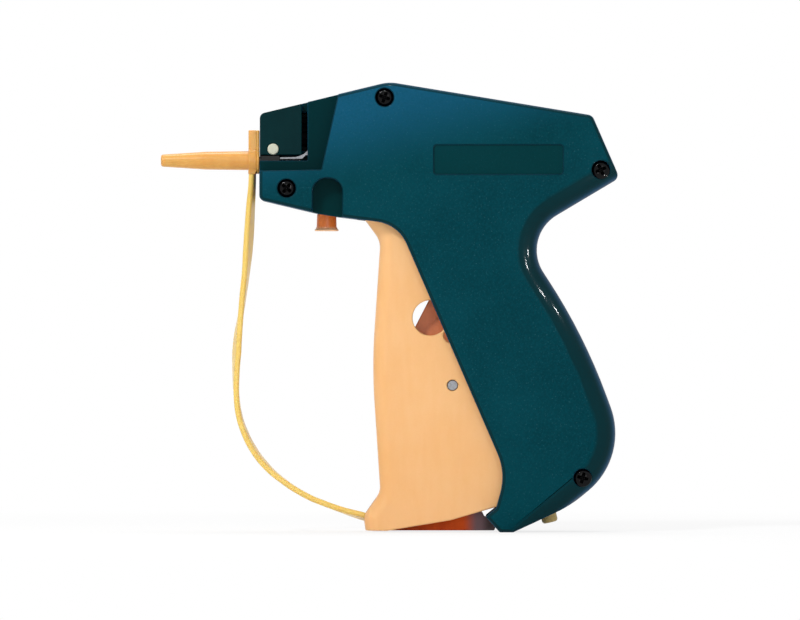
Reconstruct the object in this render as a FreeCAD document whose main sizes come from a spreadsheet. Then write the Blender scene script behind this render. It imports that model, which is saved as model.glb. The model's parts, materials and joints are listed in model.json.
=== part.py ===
import FreeCAD, Part
import math
import os
import Sketcher
from FreeCAD import Placement, Rotation, Vector

# Garment tag attacher: a pistol-grip tool that pushes small plastic tags through a hollow
# needle. Lengths are millimetres. The tool stands on the foot of its grip, +Z is up, the
# needle points along -X and the side seen in the photograph faces -Y.
# Every piece is drawn with x = 0 at the front of the casing and is moved by front_shift,
# which puts the middle of the whole tool on x = 0.

os.makedirs("parts", exist_ok=True)
doc = FreeCAD.newDocument("TagAttacher")

# Driving dimensions
SIZES = {
    "casing_length": 103.8,
    "casing_height": 130.2,
    "half_width": 12.5,
    "casing_wall": 2.0,
    "cover_reach": 28.7,
    "overrun": 1.0,
    "running_gap": 0.3,
    "pin_gap": 0.05,
    # rounded edges of the casing
    "edge_round": 1.2,
    "grip_round": 7.0,
    "grip_inset_half": 5.5,
    # nose of the casing
    "recess_depth": 8.0,
    "feed_half_depth": 2.5,
    "bay_depth": 10.4,
    "arch_depth": 5.0,
    "feed_reach": 1.2,
    "label_depth": 0.5,
    # screws
    "screw_radius": 1.5,
    "screw_head_radius": 2.6,
    "screw_head_height": 1.6,
    "screw_head_sink": 0.6,
    "screw_drive_width": 0.8,
    "screw_drive_length": 3.2,
    "screw_drive_depth": 0.8,
    "screw_length": 19.0,
    "boss_radius": 3.3,
    # needle, hub and lock
    "needle_radius": 1.15,
    "needle_bore": 0.75,
    "needle_slit": 0.5,
    "needle_point": 5.0,
    "hub_half_width": 2.0,
    "collar_wall": 0.3,
    "clamp_thickness": 1.6,
    "knob_radius": 2.9,
    "knob_foot_radius": 3.65,
    "knob_foot_height": 0.8,
    "knob_grip_depth": 0.7,
    "knob_grip_width": 1.6,
    "stem_radius": 1.6,
    # needle cover and strap
    "cap_base_radius": 2.8,
    "cap_mid_radius": 2.6,
    "cap_tip_radius": 1.75,
    "cap_bore": 1.45,
    "cap_tip_wall": 1.2,
    "ring_radius": 3.9,
    "tab_height": 8.8,
    "tab_half_width": 2.2,
    "strap_thickness": 2.0,
    "strap_width": 5.5,
    "wedge_half_width": 3.6,
    # trigger
    "trigger_half_width": 8.5,
    "trigger_wall": 2.0,
    "trigger_round": 4.0,
    "trigger_pin_radius": 2.0,
    "trigger_boss_radius": 4.2,
    "fulcrum_slot_gap": 0.6,
    "notch_gap": 0.7,
    "window_radius": 5.1,
    "link_radius": 1.55,
    "link_sink": 0.5,
    # drive lever
    "lever_half_thickness": 2.0,
    "fulcrum_radius": 1.5,
    "lever_hub_radius": 5.0,
    "link_slot_gap": 0.75,
    "drive_slot_gap": 0.35,
    "drive_pin_radius": 1.5,
    # carriage, push rod and guide
    "carriage_half_width": 5.6,
    "carriage_slot_half": 2.6,
    "rod_radius": 0.65,
    "guide_half_height": 3.2,
    "rail_thickness": 1.2,
    "rail_inner": 3.2,
    # feed wheel and pawl
    "wheel_radius": 4.3,
    "wheel_tooth": 1.0,
    "wheel_width": 3.0,
    "wheel_centre": 5.7,
    "axle_radius": 1.0,
    "pawl_thickness": 1.4,
    "leaf_thickness": 0.5,
    "nose_pin_radius": 1.6,
    "nose_pin_proud": 0.4,
    "blade_thickness": 0.6,
    # return spring
    "spring_radius": 3.2,
    "spring_wire": 0.5,
    "seat_thickness": 1.8,
    "seat_height": 9.0,
    "seat_peg_radius": 1.9,
    "seat_peg_length": 2.5,
    # strap socket in the grip
    "socket_half_width": 5.2,
    "base_peg_radius": 2.4,
    "base_peg_length": 7.0,
    "base_peg_room": 7.2,
}
WHEEL_TEETH = 12
TOOTH_ROOT_SHARE = 0.25
SPRING_TURNS = 9
QUARTERS = 4
DECIMALS = 4


class Length:
    """A size and the spreadsheet expression that gives it."""

    def __init__(self, value, text):
        self.value = value
        self.text = text

    def __add__(self, other):
        other = as_length(other)
        return Length(self.value + other.value, f"({self.text} + {other.text})")

    def __sub__(self, other):
        other = as_length(other)
        return Length(self.value - other.value, f"({self.text} - {other.text})")

    def __mul__(self, share):
        return Length(self.value * share, f"({self.text} * {share!r})")

    def __truediv__(self, share):
        return Length(self.value / share, f"({self.text} / {share!r})")

    def __neg__(self):
        return Length(-self.value, f"(0 - {self.text})")

    __rmul__ = __mul__


def as_length(value):
    if isinstance(value, Length):
        return value
    return Length(float(value), repr(float(value)))


def make_sheet():
    """The spreadsheet with one row for each driving dimension."""
    sheet = doc.addObject("Spreadsheet::Sheet", "Sizes")
    for row, (alias, value) in enumerate(SIZES.items(), start=1):
        sheet.set(f"A{row}", alias.replace("_", " "))
        sheet.set(f"B{row}", str(value))
        sheet.setAlias(f"B{row}", alias)
    doc.recompute()
    return sheet


sheet = make_sheet()


def size(alias):
    return Length(float(getattr(sheet, alias)), f"Sizes.{alias}")


ZERO = as_length(0)
length = size("casing_length")
height = size("casing_height")
half_width = size("half_width")
wall = size("casing_wall")
overrun = size("overrun")
running_gap = size("running_gap")
pin_gap = size("pin_gap")
front_shift = (size("cover_reach") - length) / 2
inner_half = half_width - wall

# Places in the side view are pixel coordinates of the photograph, where the casing spans
# these columns and rows. A third number in a table is the radius of that corner, in pixels.
FRONT_PX, REAR_PX = 259.5, 617.4
TOP_PX, BASE_PX = 83.0, 532.0


def at(column, row, _=0):
    """The place of a photograph pixel as lengths along the casing and above its foot."""
    x = length * ((column - FRONT_PX) / (REAR_PX - FRONT_PX))
    z = height * ((BASE_PX - row) / (BASE_PX - TOP_PX))
    return x, z


def corner_rounds(pixels):
    """The corners of a table that are rounded, gathered by their radius."""
    groups = {}
    for index, pixel in enumerate(pixels):
        for radius in pixel[2:]:
            groups.setdefault(radius, []).append(index)
    scale = length / (REAR_PX - FRONT_PX)
    return [(scale * radius, indexes) for radius, indexes in groups.items()]


# Hand-chosen pixel coordinates of the main places
TRIGGER_PIVOT_PX = (395.0, 200.0)
FULCRUM_PX = (482.0, 318.0)
LINK_PX = (452.5, 385.3)
DRIVE_PIN_PX = (530.2, 160.3)
WINDOW_PX = (430.2, 317.9)
KNOB_PX = (326.5, 215.0)
NOSE_PIN_PX = (273.0, 149.0)
SPRING_FRONT_PX = (473.0, 392.0)
SPRING_BACK_PX = (571.0, 392.0)
WHEEL_PX = (304.8, 131.0)
BASE_PEG_PX = (550.3, 524.0)
SCREWS_PX = [(384.6, 97.7), (286.8, 188.4), (600.5, 170.0), (582.4, 477.6)]
NEEDLE_PX = 160.3
CAP_TIP_PX = 160.5
CAP_MID_PX = 206.0
CAP_BASE_PX = 256.2

needle_z = at(FRONT_PX, NEEDLE_PX)[1]
trigger_x, trigger_z = at(*TRIGGER_PIVOT_PX)
fulcrum_x, fulcrum_z = at(*FULCRUM_PX)
link_x, link_z = at(*LINK_PX)
drive_x, drive_z = at(*DRIVE_PIN_PX)
knob_x, knob_z = at(*KNOB_PX)


# Small tools for making and joining objects

def bind(thing, **properties):
    """Tie properties of an object to spreadsheet expressions."""
    for name, value in properties.items():
        path = name.replace("__", ".")
        thing.setExpression(path, as_length(value).text)


def origin_plane(body, role):
    for feature in body.Origin.OriginFeatures:
        if feature.Role == role:
            return feature
    raise ValueError(role)


def outline_sketch(body, name, points, plane, offset):
    """A closed outline on one of the body's planes, each corner tied to its two places."""
    sketch = body.newObject("Sketcher::SketchObject", name)
    sketch.AttachmentSupport = (origin_plane(body, plane), [""])
    sketch.MapMode = "FlatFace"
    bind(sketch, AttachmentOffset__Base__z=offset)
    corners = [Vector(a.value, b.value, 0) for a, b in points]
    count = len(corners)
    for index in range(count):
        sketch.addGeometry(Part.LineSegment(corners[index], corners[(index + 1) % count]), False)
    joined = [Sketcher.Constraint("Coincident", i, 2, (i + 1) % count, 1) for i in range(count)]
    sketch.addConstraint(joined)
    for index, (a, b) in enumerate(points):
        for kind, place in (("DistanceX", a), ("DistanceY", b)):
            constraint = Sketcher.Constraint(kind, -1, 1, index, 1, place.value)
            number = sketch.addConstraint(constraint)
            sketch.setExpression(f"Constraints[{number}]", place.text)
    return sketch


def edges_along(shape, axis, point, tolerance=1e-3):
    """Names of the straight edges along one axis through a point of the outline."""
    names = []
    for number, edge in enumerate(shape.Edges, start=1):
        start, end = edge.Vertexes[0].Point, edge.Vertexes[-1].Point
        direction = end - start
        if direction.Length < tolerance:
            continue
        if abs(abs(direction.normalize().dot(axis)) - 1) > tolerance:
            continue
        away = start - point
        if (away - axis * away.dot(axis)).Length < tolerance:
            names.append(f"Edge{number}")
    return names


def round_corners(body, feature, points, corners):
    """Round chosen corners of a padded outline, one fillet for each radius."""
    for radius, indexes in corners:
        doc.recompute()
        names = []
        for index in indexes:
            a, b = points[index]
            place = Vector(a.value, 0, b.value)
            names += edges_along(feature.Shape, Vector(0, 1, 0), place)
        fillet = body.newObject("PartDesign::Fillet", "Corners")
        fillet.Base = (feature, names)
        bind(fillet, Radius=radius)
        feature = fillet
    return feature


def plate(name, pixels, y_min, y_max):
    """A table of pixels padded from y_min to y_max, with the corners that it rounds."""
    return prism(name, px_outline(pixels), y_min, y_max, corner_rounds(pixels))


def prism(name, points, y_min, y_max, corners=()):
    """A side-view outline padded from y_min to y_max, with rounded corners."""
    y_min, y_max = as_length(y_min), as_length(y_max)
    body = doc.addObject("PartDesign::Body", name)
    sketch = outline_sketch(body, f"{name}_outline", points, "XZ_Plane", -y_max)
    pad = body.newObject("PartDesign::Pad", f"{name}_pad")
    pad.Profile = sketch
    bind(pad, Length=y_max - y_min)
    round_corners(body, pad, points, corners)
    doc.recompute()
    return body


def px_outline(pixels):
    return [at(*pixel) for pixel in pixels]


def cylinder(name, axis, start, radius, long):
    """A cylinder from a start point along one axis."""
    turn = {
        "x": Rotation(Vector(0, 1, 0), 90),
        "y": Rotation(Vector(1, 0, 0), -90),
        "z": Rotation(),
    }[axis]
    made = doc.addObject("Part::Cylinder", name)
    made.Placement = Placement(Vector(0, 0, 0), turn)
    bind(made, Radius=radius, Height=long)
    place(made, start)
    return made


def taper(name, start, radius_1, radius_2, long):
    """A cone that starts at a point and narrows toward the front of the tool."""
    made = doc.addObject("Part::Cone", name)
    made.Placement = Placement(Vector(0, 0, 0), Rotation(Vector(0, 1, 0), -90))
    bind(made, Radius1=radius_1, Radius2=radius_2, Height=long)
    place(made, start)
    return made


def box(name, low, high):
    """A box between two opposite corners."""
    made = doc.addObject("Part::Box", name)
    low = [as_length(value) for value in low]
    high = [as_length(value) for value in high]
    bind(made, Length=high[0] - low[0], Width=high[1] - low[1], Height=high[2] - low[2])
    place(made, low)
    return made


def place(made, point):
    for axis, value in zip("xyz", point):
        made.setExpression(f"Placement.Base.{axis}", as_length(value).text)


def fuse(name, *pieces):
    made = doc.addObject("Part::MultiFuse", name)
    made.Shapes = list(pieces)
    made.Refine = True
    return made


def cut(name, base, *tools):
    tool = tools[0] if len(tools) == 1 else fuse(f"{name}_tools", *tools)
    made = doc.addObject("Part::Cut", name)
    made.Base = base
    made.Tool = tool
    made.Refine = True
    return made


def common(name, first, second):
    made = doc.addObject("Part::Common", name)
    made.Base = first
    made.Tool = second
    made.Refine = True
    return made


def mirrored(name, source):
    """The mirror image of a piece across the parting plane."""
    made = doc.addObject("Part::Mirroring", name)
    made.Source = source
    made.Normal = Vector(0, 1, 0)
    return made


NODES = []


def node(name, made):
    """Name a finished piece and move it into the tool's own frame."""
    made.Label = name
    own_place = dict(made.ExpressionEngine).get(".Placement.Base.x", "0")
    made.setExpression("Placement.Base.x", f"{own_place} + {front_shift.text}")
    NODES.append(made)
    return made


def shape_node(name, shape):
    """A piece whose shape comes from a formula; the sizes it uses come from the sheet."""
    made = doc.addObject("Part::Feature", f"{name}_shape")
    made.Shape = shape
    return node(name, made)


# Casing

CASING_PX = [
    (259.5, 113.4, 5.9), (389.0, 82.2, 40.0), (592.0, 115.6, 7.9),
    (619.3, 178.1, 7.0), (520.4, 237.0, 40.5), (584.0, 334.4, 570.0),
    (629.2, 457.1, 75.0), (571.0, 505.2, 125.0), (513.0, 532.0),
    (499.5, 532.0, 2.8), (485.5, 516.5, 1.7), (495.8, 508.0, 2.8),
    (505.5, 472.5, 58.6), (398.0, 224.5, 36.2), (323.4, 215.2, 275.8),
    (259.5, 200.0, 5.9),
]
# The band outline follows the back of the grip and runs free of the casing elsewhere.
BAND_PX = [
    (150.0, 0.0), (760.0, 0.0), (760.0, 94.3), (520.4, 237.0, 40.5),
    (584.0, 334.4, 570.0), (629.2, 457.1, 75.0), (504.7, 560.0), (150.0, 560.0),
]
TOP_RUN, BACK_RUN = 0, 4
# The hollow for the works, open along the front of the grip for the trigger
HOLLOW_PX = [
    (346.0, 102.0), (389.0, 90.0), (586.0, 122.0), (608.0, 173.0),
    (541.0, 205.0), (516.0, 234.0), (519.0, 262.0), (574.0, 365.0),
    (594.0, 420.0), (594.0, 455.0), (580.0, 475.0), (548.0, 498.0),
    (512.0, 523.0), (507.0, 523.0), (482.0, 545.0), (470.0, 440.0),
    (396.0, 262.0), (357.0, 240.0), (357.0, 209.0), (346.0, 207.0),
]
# A shallower hollow that reaches closer to the rounded back of the grip
BACK_HOLLOW_PX = [
    (500.0, 190.0), (531.0, 214.0), (528.5, 236.0), (529.0, 260.0),
    (585.0, 360.0), (608.0, 420.0), (608.0, 452.0), (588.0, 482.0),
    (551.0, 507.0), (515.0, 523.0), (490.0, 470.0), (450.0, 250.0),
]


def rim_edge(shape, points, index, y):
    """Name of the side-face edge that lies on one run of the outline."""
    start, end = [Vector(a.value, y.value, b.value) for a, b in points[index:index + 2]]
    names = edges_along(shape, (end - start).normalize(), start)
    return names[:1]


def round_rim(body, names, radius):
    """Round the run of smoothly joined edges that holds the named one."""
    feature = body.Tip
    fillet = body.newObject("PartDesign::Fillet", "Rim")
    fillet.Base = (feature, names)
    bind(fillet, Radius=radius)
    doc.recompute()


def outer_half():
    """The near half of the casing as a solid, with its rounded edges."""
    block = plate("casing_block", CASING_PX, -half_width, ZERO)
    edge = rim_edge(block.Tip.Shape, px_outline(CASING_PX), TOP_RUN, -half_width)
    round_rim(block, edge, size("edge_round"))
    band = plate("band_block", BAND_PX, -half_width, overrun)
    edge = rim_edge(band.Tip.Shape, px_outline(BAND_PX), BACK_RUN, -half_width)
    round_rim(band, edge, size("grip_round"))
    return common("outer_half", block, band)


# Near and far halves of the casing

RECESS_PX = [(240.0, 60.0), (340.0, 60.0), (338.0, 97.4), (321.6, 170.0), (240.0, 171.5)]
FEED_SLOT_PX = [(302.0, 60.0), (307.6, 60.0), (307.6, 159.0), (302.0, 159.0)]
CHANNEL_PX = [(240.0, 155.0), (360.0, 155.0), (360.0, 171.5), (240.0, 171.5)]
NOSE_BLOCK_PX = [(260.0, 113.6, 5.9), (301.6, 103.6), (301.6, 154.6), (260.0, 154.6)]
NOSE_SLIT_PX = [(240.0, 154.6), (307.6, 154.6), (307.6, 160.6), (240.0, 160.6)]
NOSE_SEAT_PX = [(240.0, 80.0), (302.0, 80.0), (302.0, 155.0), (240.0, 155.0)]
ARCH_PX = [(312.4, 178.0, 13.8), (342.7, 178.0, 13.8), (342.7, 230.0), (312.4, 230.0)]
LABEL_PX = [
    (433.6, 145.0, 3.1), (563.0, 145.0, 3.1), (563.0, 174.7, 3.1), (433.6, 174.7, 3.1),
]
BAY_PX = [(296.0, 112.0), (328.0, 112.0), (328.0, 151.0), (296.0, 151.0)]
GUIDE_SEAT_PX = [(307.9, 106.0), (312.0, 106.0), (312.0, 150.0), (307.9, 150.0)]
BLADE_SEAT_PX = [(300.0, 149.8), (322.4, 149.8), (322.4, 155.2), (300.0, 155.2)]
KNOB_TOP_PX, KNOB_CUP_PX, KNOB_FOOT_PX, KNOB_STEM_PX = 213.5, 212.5, 231.0, 172.6
AXLE_FRONT_PX, AXLE_REAR_PX = 290.0, 334.0
NOSE_FLOOR_PX = 171.5
CARRIAGE_FRONT_PX, CARRIAGE_REAR_PX = 502.0, 553.0
CARRIAGE_TOP_PX, CARRIAGE_BOTTOM_PX = 146.0, 174.6
RAIL_FRONT_PX, RAIL_REAR_PX = 398.0, 572.0

nose_floor = half_width - size("recess_depth")
nose_pin_radius = size("nose_pin_radius")
nose_pin_deep = size("feed_half_depth") * 2


def column(px):
    return at(px, BASE_PX)[0]


def row(px):
    return at(FRONT_PX, px)[1]


def rails(side):
    """Two ribs on a side wall, above and below the carriage."""
    made = []
    low, high = sorted_by_value(side * size("rail_inner"), side * (inner_half + overrun / 2))
    for bottom, top in (
        (row(CARRIAGE_TOP_PX) + running_gap, None),
        (None, row(CARRIAGE_BOTTOM_PX) - running_gap),
    ):
        if top is None:
            top = bottom + size("rail_thickness")
        else:
            bottom = top - size("rail_thickness")
        corners = (column(RAIL_FRONT_PX), low, bottom), (column(RAIL_REAR_PX), high, top)
        made.append(box("rail", *corners))
    return made


def sorted_by_value(*lengths):
    return sorted(lengths, key=lambda item: item.value)


def bosses(side):
    """Posts on a side wall for the screws and the two pivot pins."""
    made = []
    wall_face = side * (half_width - wall / 2)
    for pixel in SCREWS_PX:
        made.append(post("screw_boss", pixel, wall_face, ZERO, size("boss_radius")))
    clear = size("trigger_half_width") + running_gap
    for pixel, radius in (
        (TRIGGER_PIVOT_PX, size("trigger_boss_radius")),
        (FULCRUM_PX, size("lever_hub_radius")),
    ):
        made.append(post("pivot_boss", pixel, wall_face, side * clear, radius))
    return made


def post(name, pixel, y_from, y_to, radius):
    """A cylinder across the tool between two distances from the parting plane."""
    low, high = sorted_by_value(as_length(y_from), as_length(y_to))
    x, z = at(*pixel)
    return cylinder(name, "y", (x, low, z), radius, high - low)


def pin_holes(name, side):
    """Blind holes for the pivot pins in their bosses."""
    made = []
    deep = side * (half_width - wall / 2)
    for pixel, radius in (
        (TRIGGER_PIVOT_PX, size("trigger_pin_radius")),
        (FULCRUM_PX, size("fulcrum_radius")),
    ):
        made.append(post(name, pixel, deep, ZERO, radius + pin_gap))
    return made


def shared_cuts(side):
    """Openings that both halves share: needle channel, knob seat, peg hole and feed slot."""
    made = []
    low, high = sorted_by_value(side * size("feed_half_depth"), -side * overrun)
    made.append(plate("channel", CHANNEL_PX, low, high))
    stem_bottom = (knob_x, ZERO, row(KNOB_FOOT_PX))
    stem_long = row(NOSE_FLOOR_PX) - row(KNOB_FOOT_PX) + overrun
    made.append(cylinder("stem_hole", "z", stem_bottom, size("stem_radius") + pin_gap, stem_long))
    cup_long = row(KNOB_CUP_PX) - row(KNOB_FOOT_PX)
    cup_radius = size("knob_radius") + running_gap
    made.append(cylinder("knob_seat", "z", stem_bottom, cup_radius, cup_long))
    peg_x, peg_z = at(*BASE_PEG_PX)
    peg_long = size("base_peg_room")
    peg_radius = size("base_peg_radius") + pin_gap
    made.append(cylinder("peg_hole", "z", (peg_x, ZERO, peg_z), peg_radius, peg_long))
    return made


def hollow_half(name, side):
    """The hollow of one half, with the posts and ribs left standing."""
    depth = side * inner_half
    low, high = sorted_by_value(depth, -side * overrun)
    deep = plate(f"{name}_deep", HOLLOW_PX, low, high)
    low, high = sorted_by_value(side * size("grip_inset_half"), -side * overrun)
    back = plate(f"{name}_back", BACK_HOLLOW_PX, low, high)
    standing = fuse(f"{name}_standing", *bosses(side), *rails(side))
    return cut(f"{name}_hollow", fuse(f"{name}_space", deep, back), standing)


def near_shell():
    """The half seen in the photograph, with the nose recess, screw seats and bare panel."""
    outer = outer_half()
    cuts = [hollow_half("near", -1)]
    cuts += pin_holes("near_pin_hole", -1)
    cuts += shared_cuts(-1)
    cuts.append(plate("nose_recess", RECESS_PX, -(half_width + overrun), -nose_floor))
    cuts.append(plate("nose_slit", NOSE_SLIT_PX, -(nose_floor + overrun), ZERO))
    cuts.append(plate("nose_seat", NOSE_SEAT_PX, -(nose_floor + overrun), overrun))
    cuts.append(plate("feed_slot", FEED_SLOT_PX, -(nose_floor + overrun), overrun))
    guide_deep = -(nose_floor - wall / 2)
    cuts.append(plate("guide_seat", GUIDE_SEAT_PX, guide_deep, overrun))
    blade_deep = -(size("needle_radius") + size("blade_thickness") + pin_gap * 2)
    cuts.append(plate("blade_seat", BLADE_SEAT_PX, blade_deep, overrun))
    outer_face = -(half_width + overrun)
    cuts.append(plate("arch", ARCH_PX, outer_face, size("arch_depth") - half_width))
    cuts.append(plate("panel", LABEL_PX, outer_face, size("label_depth") - half_width))
    for pixel in SCREWS_PX:
        cuts.append(post("screw_hole", pixel, -half_width, overrun, size("screw_radius") + pin_gap))
        seat = half_width - size("screw_head_sink") - size("screw_head_height")
        radius = size("screw_head_radius") + pin_gap * 2
        cuts.append(post("head_seat", pixel, outer_face, -seat, radius))
    return cut("near_shell", outer, *cuts)


def far_shell():
    """The plain half, which carries the feed wheel and takes the screws."""
    outer = mirrored("outer_mirror", outer_half())
    cuts = [hollow_half("far", 1)]
    cuts += pin_holes("far_pin_hole", 1)
    cuts += shared_cuts(1)
    cuts.append(plate("feed_reach", FEED_SLOT_PX, -overrun, size("feed_reach")))
    cuts.append(plate("feed_bay", BAY_PX, -overrun, size("bay_depth")))
    wheel_x, wheel_z = at(*WHEEL_PX)
    axle_start = (column(AXLE_FRONT_PX), size("wheel_centre"), wheel_z)
    axle_long = column(AXLE_REAR_PX) - column(AXLE_FRONT_PX)
    axle_radius = size("axle_radius") + pin_gap
    cuts.append(cylinder("axle_hole", "x", axle_start, axle_radius, axle_long))
    cuts.append(post("nose_pin_hole", NOSE_PIN_PX, -overrun, nose_pin_deep, nose_pin_radius + pin_gap))
    for pixel in SCREWS_PX:
        deep = size("screw_length") - half_width + size("screw_head_sink") + overrun
        cuts.append(post("screw_thread", pixel, -overrun, deep, size("screw_radius") + pin_gap))
    return cut("far_shell", outer, *cuts)


node("left_shell", near_shell())
node("right_shell", far_shell())


# Screws and the small parts of the nose

GUIDE_PX = [(308.2, 106.4), (311.7, 106.4), (311.7, 149.6), (308.2, 149.6)]
BLADE_PX = [
    (280.0, 158.6), (280.0, 157.2), (295.5, 156.8), (300.0, 155.4), (304.0, 153.6), (307.6, 150.1),
    (322.0, 150.1), (322.0, 154.9), (305.5, 154.9), (302.0, 158.4),
]
PAWL_FRONT_PX, PAWL_REAR_PX, PAWL_BOTTOM_PX, PAWL_TOP_PX = 311.4, 317.0, 149.4, 122.5
LEAF_FRONT_PX, LEAF_REAR_PX, LEAF_BOTTOM_PX = 297.0, 301.0, 149.0
axle_radius = size("axle_radius")


def shell_screws():
    """Four cross-head screws, their heads sunk a little below the near side."""
    face = -(half_width - size("screw_head_sink"))
    under_head = face + size("screw_head_height")
    end = face + size("screw_length")
    screws = []
    for pixel in SCREWS_PX:
        x, z = at(*pixel)
        head = post("screw_head", pixel, face, under_head, size("screw_head_radius"))
        shaft = post("screw_shaft", pixel, face, end, size("screw_radius"))
        bottom = face + size("screw_drive_depth")
        wide, narrow = size("screw_drive_length") / 2, size("screw_drive_width") / 2
        across = box("drive", (x - wide, face - overrun, z - narrow), (x + wide, bottom, z + narrow))
        upright = box("drive", (x - narrow, face - overrun, z - wide), (x + narrow, bottom, z + wide))
        screws.append(cut("screw", fuse("screw_blank", head, shaft), across, upright))
    made = doc.addObject("Part::Compound", "shell_screws")
    made.Links = screws
    return made


def nose_block():
    """The insert in front of the feed slot."""
    block = plate("nose_insert", NOSE_BLOCK_PX, -nose_floor, ZERO)
    hole = post("insert_hole", NOSE_PIN_PX, -(nose_floor + overrun), overrun, nose_pin_radius + pin_gap)
    return cut("nose_insert_cut", block, hole)


def clip_guide():
    """The liner behind the feed slot that a strip of tags slides against."""
    low = -(nose_floor - wall / 2) + pin_gap
    return plate("guide_liner", GUIDE_PX, low, ZERO)


def feed_wheel():
    """The toothed wheel that moves the strip of tags down one tag for each squeeze."""
    wheel_x, wheel_z = at(*WHEEL_PX)
    tip = size("wheel_radius")
    root = tip - size("wheel_tooth")
    points = []
    for tooth in range(WHEEL_TEETH):
        for radius, part in ((tip, 0), (root, TOOTH_ROOT_SHARE)):
            angle = 2 * math.pi * (tooth + part) / WHEEL_TEETH
            y = size("wheel_centre") + radius * round(math.cos(angle), DECIMALS)
            z = wheel_z + radius * round(math.sin(angle), DECIMALS)
            points.append((y, z))
    low = wheel_x - size("wheel_width") / 2
    disc = prism_along_x("wheel_disc", points, low, low + size("wheel_width"))
    start = (low - overrun, size("wheel_centre"), wheel_z)
    long = size("wheel_width") + overrun * 2
    return cut("wheel_cut", disc, cylinder("wheel_bore", "x", start, axle_radius + pin_gap, long))


def prism_along_x(name, points, x_min, x_max):
    """An outline across the tool, padded along it."""
    body = doc.addObject("PartDesign::Body", name)
    sketch = outline_sketch(body, f"{name}_outline", points, "YZ_Plane", x_min)
    pad = body.newObject("PartDesign::Pad", f"{name}_pad")
    pad.Profile = sketch
    bind(pad, Length=x_max - x_min)
    doc.recompute()
    return body


def feed_axle():
    """The rod that the feed wheel turns on."""
    wheel_z = row(WHEEL_PX[1])
    start = (column(AXLE_FRONT_PX) + pin_gap, size("wheel_centre"), wheel_z)
    long = column(AXLE_REAR_PX) - column(AXLE_FRONT_PX) - pin_gap * 2
    return cylinder("axle_rod", "x", start, axle_radius, long)


def feed_pawl():
    """The slide beside the wheel that turns it."""
    low = size("wheel_centre") - size("wheel_radius") + pin_gap
    high = low + size("pawl_thickness")
    bottom, top = row(PAWL_BOTTOM_PX), row(PAWL_TOP_PX)
    return box("pawl_bar", (column(PAWL_FRONT_PX), low, bottom), (column(PAWL_REAR_PX), high, top))


def check_spring():
    """The thin leaf that keeps the strip of tags from backing out."""
    low = size("leaf_thickness")
    left, right = column(LEAF_FRONT_PX), column(LEAF_REAR_PX)
    return box("leaf", (left, low, row(LEAF_BOTTOM_PX)), (right, low * 2, row(BAY_PX[0][1])))


def cutter_blade():
    """The steel blade at the foot of the feed slot, with its lip in front of the needle."""
    high = -(size("needle_radius") + pin_gap)
    return plate("blade_plate", BLADE_PX, high - size("blade_thickness"), high)


node("shell_screws", shell_screws())
node("nose_block", nose_block())
nose_pin_face = -(nose_floor + size("nose_pin_proud"))
nose_pin_end = nose_pin_deep - pin_gap
node("nose_pin", post("nose_rod", NOSE_PIN_PX, nose_pin_face, nose_pin_end, nose_pin_radius))
node("clip_guide", clip_guide())
node("feed_wheel", feed_wheel())
node("feed_axle", feed_axle())
node("feed_pawl", feed_pawl())
node("check_spring", check_spring())
node("cutter_blade", cutter_blade())


# Needle, its lock and its cover

NEEDLE_REAR_PX, NEEDLE_TIP_PX = 300.0, 197.0
HUB_FRONT_PX, COLLAR_REAR_PX, HUB_REAR_PX, HUB_BOTTOM_PX = 260.6, 279.5, 299.0, 171.2
CLAMP_FRONT_PX, CLAMP_REAR_PX, CLAMP_BOTTOM_PX = 318.0, 334.0, 171.3
EYE_FRONT_PX = 248.3


def needle():
    """A hollow needle with a slit along its near side and a slanted point."""
    tip, rear = column(NEEDLE_TIP_PX), column(NEEDLE_REAR_PX)
    start = (tip, ZERO, needle_z)
    tube = cylinder("needle_tube", "x", start, size("needle_radius"), rear - tip)
    bore_start = (tip - overrun, ZERO, needle_z)
    bore = cylinder("needle_hole", "x", bore_start, size("needle_bore"), rear - tip + overrun * 2)
    half_slit = size("needle_slit") / 2
    low = (tip - overrun, -(size("needle_radius") + overrun), needle_z - half_slit)
    slit = box("needle_slit", low, (rear + overrun, ZERO, needle_z + half_slit))
    reach = size("needle_radius") + pin_gap
    bevel_points = [
        (tip - overrun, needle_z + reach * 2), (tip + size("needle_point"), needle_z + reach * 2),
        (tip + size("needle_point"), needle_z + reach), (tip, needle_z - reach),
        (tip - overrun, needle_z - reach),
    ]
    bevel = prism("needle_bevel", bevel_points, -reach * 2, reach * 2)
    return cut("needle_cut", tube, bore, slit, bevel)


def needle_hub():
    """The cradle that holds the needle in the nose, closed round it at the front."""
    half = size("hub_half_width")
    low = (column(HUB_FRONT_PX), -half, row(HUB_BOTTOM_PX))
    block = box("hub_block", low, (column(HUB_REAR_PX), half, needle_z))
    collar_top = needle_z + size("needle_radius") + size("collar_wall")
    collar = box("hub_collar", low, (column(COLLAR_REAR_PX), half, collar_top))
    groove_start = (column(HUB_FRONT_PX) - overrun, ZERO, needle_z)
    long = column(HUB_REAR_PX) - column(HUB_FRONT_PX) + overrun * 2
    groove = cylinder("hub_groove", "x", groove_start, size("needle_radius") + pin_gap, long)
    return cut("hub_cut", fuse("hub_blank", block, collar), groove)


def clamp_plate():
    """The bar inside the nose that the lock knob's stem presses on."""
    half = size("feed_half_depth") - running_gap
    bottom = row(CLAMP_BOTTOM_PX)
    low = (column(CLAMP_FRONT_PX), -half, bottom)
    return box("clamp_bar", low, (column(CLAMP_REAR_PX), half, bottom + size("clamp_thickness")))


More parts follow.
